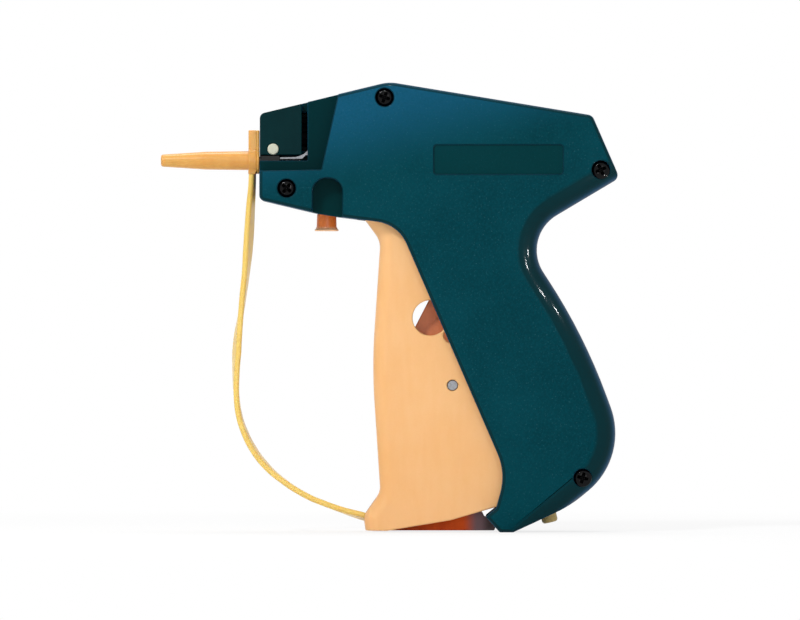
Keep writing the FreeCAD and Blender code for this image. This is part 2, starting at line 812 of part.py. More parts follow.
def lock_knob():
    """The small turning knob below the nose, with its stem and a coin slot in its foot."""
    foot_z, top_z, stem_z = row(KNOB_FOOT_PX), row(KNOB_TOP_PX), row(KNOB_STEM_PX)
    rim_z = foot_z + size("knob_foot_height")
    base = cylinder("knob_foot", "z", (knob_x, ZERO, foot_z), size("knob_foot_radius"), rim_z - foot_z)
    grip = cylinder("knob_grip", "z", (knob_x, ZERO, foot_z), size("knob_radius"), top_z - foot_z)
    stem = cylinder("knob_stem", "z", (knob_x, ZERO, foot_z), size("stem_radius"), stem_z - foot_z)
    half = size("knob_grip_width") / 2
    long = size("knob_foot_radius") + overrun
    depth = foot_z + size("knob_grip_depth")
    slot = box("knob_slot", (knob_x - long, -half, foot_z - overrun), (knob_x + long, half, depth))
    return cut("knob_cut", fuse("knob_blank", base, grip, stem), slot)


def ring_with_tab(name, left, right):
    """A round flange about the needle with a finger tab above it."""
    ring = cylinder(f"{name}_ring", "x", (left, ZERO, needle_z), size("ring_radius"), right - left)
    half = size("tab_half_width")
    tab = box(f"{name}_tab", (left, -half, needle_z), (right, half, needle_z + size("tab_height")))
    return fuse(name, ring, tab)


def needle_cap():
    """The tapered tube over the needle with the flange that meets the casing."""
    base_x, mid_x, tip_x = column(CAP_BASE_PX), column(CAP_MID_PX), column(CAP_TIP_PX)
    base, mid, tip = size("cap_base_radius"), size("cap_mid_radius"), size("cap_tip_radius")
    rear = taper("cap_rear", (base_x, ZERO, needle_z), base, mid, base_x - mid_x)
    nose = taper("cap_nose", (mid_x, ZERO, needle_z), mid, tip, mid_x - tip_x)
    face = -pin_gap * 2
    flange = ring_with_tab("cap_flange", base_x, face)
    start = (tip_x + size("cap_tip_wall"), ZERO, needle_z)
    bore = cylinder("cap_hole", "x", start, size("cap_bore"), face - tip_x)
    return cut("cap_cut", fuse("cap_blank", rear, nose, flange), bore)


STRAP_PX = [
    (252.2, 168.0), (251.5, 185.0), (249.8, 205.0), (248.3, 232.0), (245.0, 272.0),
    (239.5, 320.0), (236.2, 360.0), (236.0, 392.0), (238.5, 416.0), (243.5, 432.0),
    (251.5, 448.4), (264.0, 465.4), (281.0, 480.7), (307.5, 497.2), (344.0, 511.0), (376.0, 520.0),
]
WEDGE_PX = [
    (372.0, 511.0), (479.0, 509.0), (482.5, 512.5), (484.5, 516.8), (488.0, 516.8), (491.5, 513.5),
    (506.0, 513.5), (506.0, 518.5), (498.0, 518.5), (494.5, 530.6), (386.0, 530.6), (372.0, 525.0),
]
SOCKET_PX = [
    (499.0, 503.0), (528.0, 503.0), (528.0, 511.4), (513.0, 522.3), (504.6, 522.3), (499.0, 522.0),
]
POCKET_PX = [(480.0, 512.4), (507.2, 512.4), (507.2, 519.6), (480.0, 519.6)]


def strap_ribbon():
    """The flat strap as a band of even thickness along a smooth curve."""
    points = [Vector(column(px).value, 0, row(py).value) for px, py in STRAP_PX]
    curve = Part.BSplineCurve()
    curve.interpolate(points)
    half = size("strap_thickness").value / 2
    sides = {1: [], -1: []}
    for point in points:
        along = curve.tangent(curve.parameter(point))[0]
        across = along.cross(Vector(0, 1, 0)).normalize()
        for side, line in sides.items():
            line.append(point + across * half * side)
    edges = []
    for line in sides.values():
        side_curve = Part.BSplineCurve()
        side_curve.interpolate(line)
        edges.append(side_curve.toShape())
    edges.append(Part.makeLine(sides[1][0], sides[-1][0]))
    edges.append(Part.makeLine(sides[1][-1], sides[-1][-1]))
    wide = size("strap_width").value
    face = Part.Face(Part.Wire(Part.__sortEdges__(edges)))
    ribbon = doc.addObject("Part::Feature", "strap_ribbon")
    ribbon.Shape = face.extrude(Vector(0, wide, 0))
    ribbon.Placement = Placement(Vector(0, -wide / 2, 0), Rotation())
    return ribbon


def cap_strap(ribbon):
    """Strap from the eye round the cap down to the wedge."""
    left, right = column(EYE_FRONT_PX), column(CAP_BASE_PX)
    eye = ring_with_tab("strap_eye", left, right)
    hole_start = (left - overrun, ZERO, needle_z)
    hole_radius = size("cap_base_radius") + pin_gap
    hole = cylinder("eye_hole", "x", hole_start, hole_radius, right - left + overrun * 2)
    return cut("strap_cut", fuse("strap_blank", eye, ribbon), hole)


def strap_wedge(ribbon):
    """The wedge on the end of the strap, with the tongue that parks in the foot of the grip."""
    half = size("wedge_half_width")
    return cut("wedge_cut", plate("wedge_block", WEDGE_PX, -half, half), ribbon)


def strap_socket():
    """The socket in the foot of the grip that holds the tongue of the wedge."""
    half = size("socket_half_width")
    block = plate("socket_block", SOCKET_PX, -half, half)
    inside = size("wedge_half_width") + running_gap
    return cut("socket_cut", block, plate("socket_pocket", POCKET_PX, -inside, inside))


def base_peg():
    """The small peg that stands out of the sloping base."""
    peg_x, peg_z = at(*BASE_PEG_PX)
    radius, long = size("base_peg_radius"), size("base_peg_length")
    return cylinder("peg_rod", "z", (peg_x, ZERO, peg_z), radius, long)


node("needle", needle())
node("needle_hub", needle_hub())
node("clamp_plate", clamp_plate())
node("lock_knob", lock_knob())
node("needle_cap", needle_cap())
ribbon = strap_ribbon()
node("cap_strap", cap_strap(ribbon))
node("strap_wedge", strap_wedge(ribbon))
node("strap_socket", strap_socket())
node("base_peg", base_peg())


# Trigger and drive lever

TRIGGER_PX = [
    (366.0, 206.0), (365.0, 220.0), (380.4, 241.0, 22.0), (371.9, 365.9, 600.0),
    (380.3, 492.0, 17.2), (363.5, 516.0, 15.2), (365.5, 530.5),
    (387.0, 530.7), (451.0, 520.0), (497.0, 506.6), (509.0, 490.0), (512.0, 470.0), (505.0, 436.0),
    (440.0, 285.0), (414.0, 226.0), (408.0, 190.0), (383.0, 190.0),
]
FRONT_RUN = 2
TRIGGER_INNER_PX = [
    (374.0, 180.0), (374.0, 218.0), (389.0, 240.0), (388.5, 275.0), (380.5, 372.0),
    (389.0, 490.0), (378.0, 512.0), (378.0, 545.0), (540.0, 545.0), (540.0, 180.0),
]
NOTCH_PX = [(350.0, 500.0), (394.0, 500.0), (394.0, 545.0), (350.0, 545.0)]
FULCRUM_SLOT_PX = (450.9, 335.5)
LEVER_PX = [
    (431.0, 296.0), (412.5, 332.0), (424.0, 352.0), (437.0, 410.0), (470.0, 410.0),
    (475.0, 365.0), (496.0, 332.0), (499.5, 312.0), (544.5, 151.1), (523.5, 144.7),
    (474.5, 297.0), (452.0, 286.0),
]
LINK_SLOT_PX = (462.6, 362.3), (451.9, 386.7)
DRIVE_SLOT_PX = (527.7, 168.4), (531.5, 156.2)


def slot(name, first, second, radius, half):
    """A straight slot with round ends, cut across the tool."""
    dx, dz = second[0] - first[0], first[1] - second[1]
    reach = math.hypot(dx, dz)
    nx, nz = -dz / reach, dx / reach
    points = []
    for pixel, sign in ((first, 1), (second, 1), (second, -1), (first, -1)):
        x, z = at(*pixel)
        points.append((x + radius * nx * sign, z + radius * nz * sign))
    made = [prism(f"{name}_middle", points, -half, half)]
    for pixel in (first, second):
        made.append(post(f"{name}_end", pixel, -half, half, radius))
    return made


def trigger():
    """The finger lever: a channel open to the grip, with its window and strap notch."""
    half = size("trigger_half_width")
    block = plate("trigger_block", TRIGGER_PX, -half, half)
    for face in (-half, half):
        edge = rim_edge(block.Tip.Shape, px_outline(TRIGGER_PX), FRONT_RUN, face)
        round_rim(block, edge, size("trigger_round"))
    inside = half - size("trigger_wall")
    cuts = [plate("trigger_inside", TRIGGER_INNER_PX, -inside, inside)]
    notch = size("wedge_half_width") + size("notch_gap")
    cuts.append(plate("trigger_notch", NOTCH_PX, -notch, notch))
    through = half + overrun
    for pixel, radius in (
        (WINDOW_PX, size("window_radius")),
        (TRIGGER_PIVOT_PX, size("trigger_pin_radius") + pin_gap),
        (LINK_PX, size("link_radius") + pin_gap),
    ):
        cuts.append(post("trigger_hole", pixel, -through, through, radius))
    fulcrum_room = size("fulcrum_radius") + size("fulcrum_slot_gap")
    cuts += slot("fulcrum_slot", FULCRUM_SLOT_PX, FULCRUM_PX, fulcrum_room, through)
    return cut("trigger_cut", block, *cuts)


def drive_lever():
    """The lever that turns the trigger's short swing into the long stroke of the rod."""
    half = size("lever_half_thickness")
    arm = plate("lever_plate", LEVER_PX, -half, half)
    hub = post("lever_hub", FULCRUM_PX, -half, half, size("lever_hub_radius"))
    through = half + overrun
    cuts = [post("lever_bore", FULCRUM_PX, -through, through, size("fulcrum_radius") + pin_gap)]
    link_room = size("link_radius") + size("link_slot_gap")
    cuts += slot("link_slot", *LINK_SLOT_PX, link_room, through)
    drive_room = size("drive_pin_radius") + size("drive_slot_gap")
    cuts += slot("drive_slot", *DRIVE_SLOT_PX, drive_room, through)
    return cut("lever_cut", fuse("lever_blank", arm, hub), *cuts)


node("trigger", trigger())
node("drive_lever", drive_lever())
pin_end = half_width - wall / 2 - pin_gap
trigger_pin_radius = size("trigger_pin_radius")
node("trigger_pin", post("trigger_rod", TRIGGER_PIVOT_PX, -pin_end, pin_end, trigger_pin_radius))
node("fulcrum_pin", post("fulcrum_rod", FULCRUM_PX, -pin_end, pin_end, size("fulcrum_radius")))
link_end = size("trigger_half_width") - size("link_sink")
node("link_pin", post("link_rod", LINK_PX, -link_end, link_end, size("link_radius")))


# Carriage, push rod and return spring

ROD_TIP_PX, ROD_ROOT_PX = 311.0, 508.0
CARRIAGE_SLOT_PX = 511.0
GUIDE_FRONT_PX, GUIDE_REAR_PX = 346.6, 364.0


def carriage():
    """The slide that carries the push rod, forked for the end of the lever."""
    half = size("carriage_half_width")
    front, rear = column(CARRIAGE_FRONT_PX), column(CARRIAGE_REAR_PX)
    bottom, top = row(CARRIAGE_BOTTOM_PX), row(CARRIAGE_TOP_PX)
    block = box("carriage_block", (front, -half, bottom), (rear, half, top))
    room = size("carriage_slot_half")
    fork_low = (column(CARRIAGE_SLOT_PX), -room, bottom - overrun)
    fork = box("carriage_fork", fork_low, (rear + overrun, room, top + overrun))
    pin = post("carriage_hole", DRIVE_PIN_PX, -(half + overrun), half + overrun,
               size("drive_pin_radius") + pin_gap)
    start = (front - overrun, ZERO, needle_z)
    long = column(ROD_ROOT_PX) - front + overrun + pin_gap
    bore = cylinder("rod_seat", "x", start, size("rod_radius") + pin_gap, long)
    return cut("carriage_cut", block, fork, pin, bore)


def push_rod():
    """The thin rod that pushes each tag through the needle."""
    tip, root = column(ROD_TIP_PX), column(ROD_ROOT_PX)
    return cylinder("rod", "x", (tip, ZERO, needle_z), size("rod_radius"), root - tip)


def rod_guide():
    """The cross wall behind the nose that keeps the rod in line."""
    half = size("guide_half_height")
    front, rear = column(GUIDE_FRONT_PX), column(GUIDE_REAR_PX)
    low = (front, -inner_half, needle_z - half)
    block = box("guide_block", low, (rear, inner_half, needle_z + half))
    start = (front - overrun, ZERO, needle_z)
    radius = size("rod_radius") + pin_gap * 2
    bore = cylinder("guide_bore", "x", start, radius, rear - front + overrun * 2)
    return cut("guide_cut", block, bore)


def spring_seat():
    """The cross wall in the back of the grip with a peg inside the spring."""
    x, z = at(*SPRING_BACK_PX)
    half = size("seat_height") / 2
    back = x + size("seat_thickness")
    board = box("seat_plate", (x, -inner_half, z - half), (back, inner_half, z + half))
    start = (x - size("seat_peg_length"), ZERO, z)
    peg = cylinder("seat_peg", "x", start, size("seat_peg_radius"), size("seat_peg_length") + pin_gap)
    return fuse("seat_blank", board, peg)


def biarc(start, start_way, end, end_way):
    """Two arcs that leave one point and reach another in given directions."""
    chord = end - start
    both = start_way + end_way
    spread = 2 * (1 - start_way.dot(end_way))
    along = chord.dot(both)
    reach = (math.sqrt(along * along + spread * chord.dot(chord)) - along) / spread
    first_knee, second_knee = start + start_way * reach, end - end_way * reach
    middle = (first_knee + second_knee) * 0.5
    return [arc_past(start, first_knee, middle), arc_past(middle, second_knee, end)]


def arc_past(start, knee, end):
    """The arc between two points that is tangent to both lines through the knee."""
    middle = (start + end) * 0.5
    toward = knee - middle
    half_chord = (end - start).Length / 2
    turn = math.atan2(toward.Length, half_chord)
    top = middle + toward.normalize() * half_chord * math.tan(turn / 2)
    return Part.Arc(start, top, end).toShape()


def return_spring():
    """A compression coil as one unbroken wire between the lever's foot and its seat."""
    front, z = (item.value for item in at(*SPRING_FRONT_PX))
    back = column(SPRING_BACK_PX[0]).value
    radius, wire = size("spring_radius").value, size("spring_wire").value
    front, back = front + wire, back - wire
    pitch = (back - front) / SPRING_TURNS
    steps = SPRING_TURNS * QUARTERS
    points, ways = [], []
    for step in range(steps + 1):
        angle = step * 2 * math.pi / QUARTERS
        ring = Vector(0, math.cos(angle), math.sin(angle))
        side = Vector(0, -math.sin(angle), math.cos(angle))
        points.append(Vector(front + pitch * step / QUARTERS, 0, z) + ring * radius)
        ways.append((Vector(pitch / (2 * math.pi), 0, 0) + side * radius).normalize())
    edges = []
    for step in range(steps):
        edges += biarc(points[step], ways[step], points[step + 1], ways[step + 1])
    path = Part.Wire(edges)
    profile = Part.Wire([Part.Circle(points[0], ways[0], wire).toShape()])
    print("return spring: least gap between turns", round(pitch - 2 * wire, 2), "mm")
    return path.makePipeShell([profile], True, False)


node("carriage", carriage())
node("drive_pin", post("drive_rod", DRIVE_PIN_PX, -size("carriage_half_width"),
                       size("carriage_half_width"), size("drive_pin_radius")))
node("push_rod", push_rod())
node("rod_guide", rod_guide())
node("spring_seat", spring_seat())
shape_node("return_spring", return_spring())


# Check every object and write one file for each node

doc.recompute()
faults = []
for made in doc.Objects:
    if {"Invalid", "Error"} & set(made.State):
        faults.append(f"{made.Name} {made.State}")
for made in NODES:
    if made.Shape.isNull() or not made.Shape.isValid():
        faults.append(f"{made.Label} has no valid shape")
if faults:
    raise RuntimeError("; ".join(faults))
for made in NODES:
    made.Shape.exportStep(f"parts/{made.Label}.step")
    solids = made.Shape.Solids
    volume = sum(solid.Volume for solid in solids)
    print(f"{made.Label}: {len(solids)} solids, {volume:.1f} mm3")
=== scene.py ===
import bmesh
import bpy
import json
import math
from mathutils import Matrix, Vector


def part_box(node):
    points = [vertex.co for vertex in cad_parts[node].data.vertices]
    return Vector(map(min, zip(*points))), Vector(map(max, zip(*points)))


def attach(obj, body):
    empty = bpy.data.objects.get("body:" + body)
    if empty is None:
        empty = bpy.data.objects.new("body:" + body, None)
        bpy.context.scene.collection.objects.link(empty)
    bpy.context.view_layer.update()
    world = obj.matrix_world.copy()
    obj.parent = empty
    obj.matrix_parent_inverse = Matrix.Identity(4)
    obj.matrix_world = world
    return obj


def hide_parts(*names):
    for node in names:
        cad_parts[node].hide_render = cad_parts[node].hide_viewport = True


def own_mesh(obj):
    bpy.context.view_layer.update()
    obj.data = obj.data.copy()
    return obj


# Garment tag attacher, seen from the side with the screws. Everything is in metres, in the
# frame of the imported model: the needle points along -X and the camera looks along +Y.

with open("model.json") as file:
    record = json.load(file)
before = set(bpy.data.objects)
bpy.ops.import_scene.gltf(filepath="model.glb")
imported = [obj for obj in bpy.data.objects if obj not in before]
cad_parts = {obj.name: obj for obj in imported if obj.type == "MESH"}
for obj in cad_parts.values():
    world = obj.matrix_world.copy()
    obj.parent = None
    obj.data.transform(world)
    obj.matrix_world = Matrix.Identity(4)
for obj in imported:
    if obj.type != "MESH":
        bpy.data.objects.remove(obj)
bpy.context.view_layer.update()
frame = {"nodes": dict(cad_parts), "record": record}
nodes = frame["nodes"]
scene = bpy.context.scene

body_of = {}
for body, members in frame["record"]["behaviour"]["bodies"].items():
    for member in members:
        body_of[member] = body
slot_of = {part["node"]: part["material_slot"] for part in frame["record"]["subparts"]}

MM = 0.001
# The size of one pixel of the photograph, and the pixel that lies on the frame's origin
PIXEL = 0.29 * MM
ORIGIN_PX = (388.97, 532.0)


def at(column, row):
    """Where a pixel of the photograph lies, as X and Z in metres."""
    return (column - ORIGIN_PX[0]) * PIXEL, (ORIGIN_PX[1] - row) * PIXEL


# Shaders

class Wire:
    """One output of a shader node, with arithmetic that adds Math nodes."""

    def __init__(self, bench, socket):
        self.bench = bench
        self.socket = socket

    def reckon(self, operation, *values):
        return self.bench.add("ShaderNodeMath", {"operation": operation}, values)

    def __add__(self, other):
        return self.reckon("ADD", self, other)

    def __sub__(self, other):
        return self.reckon("SUBTRACT", self, other)

    def __rsub__(self, other):
        return self.reckon("SUBTRACT", other, self)

    def __mul__(self, other):
        return self.reckon("MULTIPLY", self, other)

    def __abs__(self):
        return self.reckon("ABSOLUTE", self)

    def larger(self, other):
        return self.reckon("MAXIMUM", self, other)

    __radd__ = __add__
    __rmul__ = __mul__

    def above(self, low, high):
        """0 below low, 1 above high, smooth between."""
        settings = {"interpolation_type": "SMOOTHSTEP"}
        return self.bench.add("ShaderNodeMapRange", settings, [self, low, high])


class Bench:
    """A node tree, with one method that adds its nodes."""

    def __init__(self, tree):
        self.tree = tree

    def add(self, kind, settings=None, values=(), output=0):
        """A node with its settings made first and then its inputs, by order or by name."""
        made = self.tree.nodes.new(kind)
        for name, value in (settings or {}).items():
            setattr(made, name, value)
        pairs = values.items() if isinstance(values, dict) else enumerate(values)
        for key, value in pairs:
            self.feed(made.inputs[key], value)
        return Wire(self, made.outputs[output])

    def feed(self, socket, value):
        if isinstance(value, Wire):
            self.tree.links.new(value.socket, socket)
        else:
            socket.default_value = value


class Finish(Bench):
    """A material on one Principled shader, with constants set on the shader itself."""

    def __init__(self, name, **constants):
        self.material = bpy.data.materials.new(name)
        self.material.use_nodes = True
        super().__init__(self.material.node_tree)
        self.shader = self.tree.nodes["Principled BSDF"]
        for socket, value in constants.items():
            self.shader.inputs[socket.replace("_", " ")].default_value = value
        self.place = self.add("ShaderNodeTexCoord", output="Object")

    def set(self, socket, value):
        self.feed(self.shader.inputs[socket], value)

    def noise(self, per_mm, detail=2.0, place=None):
        """Noise of so many grains to the millimetre."""
        values = {"Vector": place or self.place, "Scale": per_mm / MM, "Detail": detail}
        return self.add("ShaderNodeTexNoise", {}, values)

    def stretched(self, x, y, z):
        """The object's own coordinates, stretched along its axes."""
        return self.add("ShaderNodeMapping", {}, {"Vector": self.place, "Scale": (x, y, z)})

    def mix(self, share, first, second):
        """A colour between two, by a share."""
        values = {"Factor": share, 6: first, 7: second}
        return self.add("ShaderNodeMix", {"data_type": "RGBA"}, values, output=2)

    def split(self, source):
        separate = self.tree.nodes.new("ShaderNodeSeparateXYZ")
        self.feed(separate.inputs[0], source)
        return [Wire(self, out) for out in separate.outputs]

    def relief(self, height, depth, strength):
        """A bump of a depth in metres where height goes from 0 to 1."""
        values = {"Strength": strength, "Distance": depth, "Height": height}
        self.set("Normal", self.add("ShaderNodeBump", {}, values))


def linear(red, green, blue):
    """A display colour of 0 to 255 as the light that a shader works in."""
    made = []
    for value in (red, green, blue):
        share = value / 255
        made.append(share / 12.92 if share <= 0.04045 else ((share + 0.055) / 1.055) ** 2.4)
    return (*made, 1.0)


# How far from the casing's middle its side faces lie, and the floor of its recessed panel. Each
# is a pair between which a mask goes from 0 to 1.
SIDE_FACE = (11.7 * MM, 11.9 * MM)
PANEL_FLOOR = (12.1 * MM, 12.3 * MM)
# The bluer top of the faces is a painted sheen of light from above
# Heights between which the faces turn bluer, and how much lower these start for each step back
PAINTED_SHEEN_HEIGHTS = (103 * MM, 128 * MM)
PAINTED_SHEEN_SLOPE = 0.25


def casing_finish():
    """Deep teal plastic: sparked side faces and smooth glossy edges, with a painted bluish sheen
    towards the top, painted shade in the deep recesses and on the rounds, and a painted bluish
    reflection on the sides.
    """
    paint = Finish("casing_teal", IOR=1.5, Specular_IOR_Level=0.01, Coat_Roughness=0.09)
    normal = paint.split(paint.add("ShaderNodeTexCoord", output="Normal"))
    x, y, z = paint.split(paint.place)
    sideways = abs(normal[1])
    facing = sideways.above(0.96, 0.995)
    flat = facing * abs(y).above(*SIDE_FACE)
    panel = facing * (1 - abs(y).above(*PANEL_FLOOR))
    # Masks for painted shade in the deep recesses and a painted bluish reflection on the rims
    deep = facing - flat
    rim = 1 - sideways.above(0.3, 0.7)
    grain = paint.noise(1.5, 3.0)
    cloud = paint.noise(0.05, 3.0)
    speck = paint.noise(2.0, 1.0).above(0.62, 0.76)
    body = paint.mix(cloud.above(0.3, 0.7), linear(2, 55, 64), linear(4, 62, 72))
    # Painted sheen: the faces turn bluer towards the top, where light from above falls
    body = paint.mix((z - x * PAINTED_SHEEN_SLOPE).above(*PAINTED_SHEEN_HEIGHTS), body, linear(19, 82, 111))
    body = paint.mix(grain.above(0.35, 0.75) * flat * 0.34, body, linear(6, 72, 84))
    body = paint.mix(speck * flat * 0.18, body, linear(70, 126, 140))
    body = paint.mix(panel * 0.7, body, linear(2, 48, 50))
    # Painted shade: the faces sunk deep below the side faces are darker
    body = paint.mix(deep * 0.9, body, linear(1, 42, 44))
    # Painted shade: the rounded edges are darker
    body = paint.mix((1 - facing) * 0.8, body, linear(1, 42, 47))
    # Painted reflection: where the rounds turn sideways they take a light bluish tint
    paint.set("Base Color", paint.mix(rim * 0.6, body, linear(18, 78, 118)))
    paint.set("Roughness", 0.3 + flat * (0.2 + grain * 0.12))
    paint.set("Coat Weight", 0.1 - facing * 0.09)
    height = flat * (grain + paint.noise(1.4, 2.0) * 0.6)
    paint.relief(height, 0.05 * MM, 0.55)
    return paint.material


def moulded(name, colour, deep, rough=0.34, grain=1.8, depth=0.02, scatter=0.0, coat=0.15,
            gloss=0.4):
    """Moulded plastic: a slow change of shade, a satin skin and faint flow marks.

    The grain is in grains to the millimetre and its depth in millimetres.
    """
    paint = Finish(name, IOR=1.48, Specular_IOR_Level=gloss, Coat_Roughness=0.12,
                   Subsurface_Weight=scatter)
    paint.shader.inputs["Subsurface Radius"].default_value = (3.0, 1.4, 0.5)
    paint.shader.inputs["Subsurface Scale"].default_value = MM
    cloud = paint.noise(0.06, 3.0)
    flow = paint.noise(0.5, 2.0, paint.stretched(1.0, 1.0, 0.15))
    fine = paint.noise(grain, 2.0)
    shade = cloud * 0.6 + flow * 0.25 + fine * 0.15
    paint.shade = paint.mix(shade.above(0.3, 0.7), deep, colour)
    paint.set("Base Color", paint.shade)
    paint.set("Roughness", rough + fine * 0.12 - cloud * 0.04)
    paint.set("Coat Weight", coat * (0.7 + cloud * 0.6))
    paint.relief(fine + flow * 0.5, depth * MM, 0.5)
    return paint


def knob_finish():
    """Knob of amber plastic painted orange as it looks in shade, with a painted highlight as a
    pale rim round its foot.
    """
    paint = moulded("knob_orange_painted_shade", linear(240, 134, 52), linear(212, 100, 36), 0.34)
    z = paint.split(paint.place)[2]
    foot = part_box("lock_knob")[0][2]
    # Painted highlight: the rim round the foot is pale, where light catches it
    pale = 1 - z.above(foot + 0.1 * MM, foot + 1.6 * MM)
    paint.set("Base Color", paint.mix(pale * 0.85, paint.shade, linear(255, 214, 170)))
    return paint.material


def wedge_finish():
    """Wedge painted burnt orange, as amber plastic looks in shade, whose tongue end turns a plum
    grey: painted shadow under the casing.
    """
    paint = moulded("wedge_orange_painted_shade", linear(222, 88, 14), linear(200, 68, 6), 0.4, gloss=0.1,
                    coat=0.02)
    x = paint.split(paint.place)[0]
    # Painted shadow: the wedge darkens to plum grey, then a darker grey, towards its tongue end
    # under the casing
    painted_shadow = x.above(at(462.0, 0.0)[0], at(478.0, 0.0)[0])
    shade = paint.mix(painted_shadow, paint.shade, linear(124, 100, 106))
    tongue = x.above(at(480.0, 0.0)[0], at(490.0, 0.0)[0])
    paint.set("Base Color", paint.mix(tongue, shade, linear(84, 72, 74)))
    return paint.material


def metal(name, colour, rough, stretch, metallic=1.0, gloss=0.5, coat=0.0):
    """Turned, drawn or blackened steel with fine lines along its making."""
    paint = Finish(name, IOR=2.2, Specular_IOR_Level=gloss, Coat_Weight=coat,
                   Coat_Roughness=0.05)
    lines = paint.noise(1.6, 4.0, paint.stretched(*stretch))
    spots = paint.noise(0.4, 3.0)
    dark = tuple(value * 0.55 for value in colour[:3]) + (1.0,)
    paint.set("Base Color", paint.mix(lines.above(0.3, 0.7) * 0.6 + spots * 0.2, dark, colour))
    paint.set("Metallic", metallic)
    paint.set("Roughness", rough + lines * 0.15 + spots.above(0.5, 0.8) * 0.1)
    paint.relief(lines, 0.008 * MM, 0.6)
    return paint.material


FINISHES = {
    "casing_plastic": casing_finish(),
    # The nose plastic is a darker teal than the casing: painted shade of the nose recess
    "nose_plastic": moulded("nose_teal_painted_shade", linear(1, 42, 45), linear(1, 35, 38), 0.36, coat=0.02,
                            gloss=0.03).material,
    "yellow_plastic": moulded("trigger_amber", linear(243, 189, 130), linear(239, 180, 116),
                              0.4, 2.4, 0.02, 0.12, 0.06, 0.3).material,
    "cover_plastic": moulded("strap_amber", linear(242, 208, 112), linear(234, 196, 98),
                             0.3, 1.4, 0.02, 0.2, 0.2).material,
    "knob_plastic": knob_finish(),
    "peg_plastic": moulded("peg_khaki", linear(216, 188, 116), linear(186, 158, 92),
                           0.45).material,
    # The drive lever is painted orange: the amber plastic as it looks in shade inside the trigger
    "lever_plastic": moulded("lever_orange_painted_shade", linear(250, 148, 88), linear(228, 122, 66),
                             0.42).material,
    "pale_plastic": moulded("pale_acetal", linear(205, 205, 184), linear(178, 178, 158),
                            0.35).material,
    "blackened_steel": metal("black_oxide", linear(2, 2, 4), 0.05, (1.0, 1.0, 1.0), 0.0, 0.01,
                             0.22),
    "bright_steel": metal("turned_steel", linear(140, 142, 146), 0.22, (1.0, 0.1, 1.0)),
    "spring_steel": metal("spring_wire", linear(160, 162, 166), 0.26, (0.2, 1.0, 1.0)),
}
WORKS = moulded("works_black", linear(12, 12, 18), linear(6, 6, 10), 0.5, coat=0.0,
                gloss=0.05).material
# Pieces whose colour differs from the rest of their material. The wedge's colour is painted shade,
# and the blackened needle hub is dark also to stand for the shade in the nose slot.
OWN_FINISHES = {
    "needle_cap": moulded("cap_amber", linear(224, 167, 80), linear(213, 148, 62),
                          0.3, 1.4, 0.02, 0.2, 0.3).material,
    "strap_wedge": wedge_finish(),
    "needle_hub": FINISHES["blackened_steel"],
    "feed_wheel": WORKS, "feed_pawl": WORKS, "carriage": WORKS, "feed_axle": WORKS,
}


def finish_of(node, slot):
    return OWN_FINISHES.get(node, FINISHES[slot])


for part in frame["record"]["subparts"]:
    made = nodes[part["node"]]
    made.data.materials.clear()
    made.data.materials.append(finish_of(part["node"], part["material_slot"]))


# Modelling by hand, with everything deselected before each step

def fresh():
    if bpy.context.object and bpy.context.object.mode != "OBJECT":
        bpy.ops.object.mode_set(mode="OBJECT")
    bpy.ops.object.select_all(action="DESELECT")


def take(made):
    fresh()
    bpy.context.view_layer.objects.active = made
    made.select_set(True)


def named(name):
    made = bpy.context.object
    made.name = name
    made.data.name = name
    return made


def edit(made):
    """Edit mode with nothing selected."""
    take(made)
    bpy.ops.object.mode_set(mode="EDIT")
    bpy.ops.mesh.select_mode(type="FACE")
    bpy.ops.mesh.select_all(action="DESELECT")


def pick(made, faces=None, edges=None):
    """Select, in edit mode, the faces that pass a test, or the edges with both ends passing."""
    bpy.ops.mesh.select_all(action="DESELECT")
    mesh = bmesh.from_edit_mesh(made.data)
    if faces:
        for face in mesh.faces:
            if faces(face.calc_center_median(), face.normal):
                face.select_set(True)
    if edges:
        for edge in mesh.edges:
            if all(edges(corner.co) for corner in edge.verts):
                edge.select_set(True)
    bmesh.update_edit_mesh(made.data)


def settle(made):
    """Put the object's place into its mesh, merge its doubles and turn its normals out."""
    take(made)
    if made.type != "MESH":
        bpy.ops.object.convert(target="MESH")
        made = bpy.context.object
    bpy.ops.object.transform_apply(location=True, rotation=True, scale=True)
    bpy.ops.object.mode_set(mode="EDIT")
    bpy.ops.mesh.select_all(action="SELECT")
    bpy.ops.mesh.remove_doubles(threshold=0.001 * MM)
    bpy.ops.mesh.normals_make_consistent(inside=False)
    bpy.ops.object.mode_set(mode="OBJECT")
    return made


def apply_modifiers(made):
    take(made)
    for modifier in list(made.modifiers):
        bpy.ops.object.modifier_apply(modifier=modifier.name)


def carve(made, cutter):
    """Cut one piece out of another and throw the cutter away."""
    cut = made.modifiers.new("cut", "BOOLEAN")
    cut.operation = "DIFFERENCE"
    cut.object = cutter
    cut.solver = "EXACT"
    apply_modifiers(made)
    bpy.data.objects.remove(cutter)


def smooth(made, edge=0.0, angle=28):
    """Soften the sharp edges and shade the rounds evenly."""
    take(made)
    if edge:
        soften = made.modifiers.new("soft_edges", "BEVEL")
        soften.limit_method = "ANGLE"
        soften.angle_limit = math.radians(42)
        soften.width = edge
        soften.segments = 2
        soften.use_clamp_overlap = False
        soften.miter_outer = "MITER_ARC"
    bpy.ops.object.shade_smooth_by_angle(angle=math.radians(angle))
    even = made.modifiers.new("even_normals", "WEIGHTED_NORMAL")
    even.keep_sharp = True
    even.weight = 100
    apply_modifiers(made)


def stand_for(made, node):
    """Give a finished piece the finish and the body of the node that it replaces, and hide that
    node.
    """
    slot = slot_of[node]
    made.data.materials.clear()
    made.data.materials.append(finish_of(node, slot))
    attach(made, body_of[node])
    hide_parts(node)


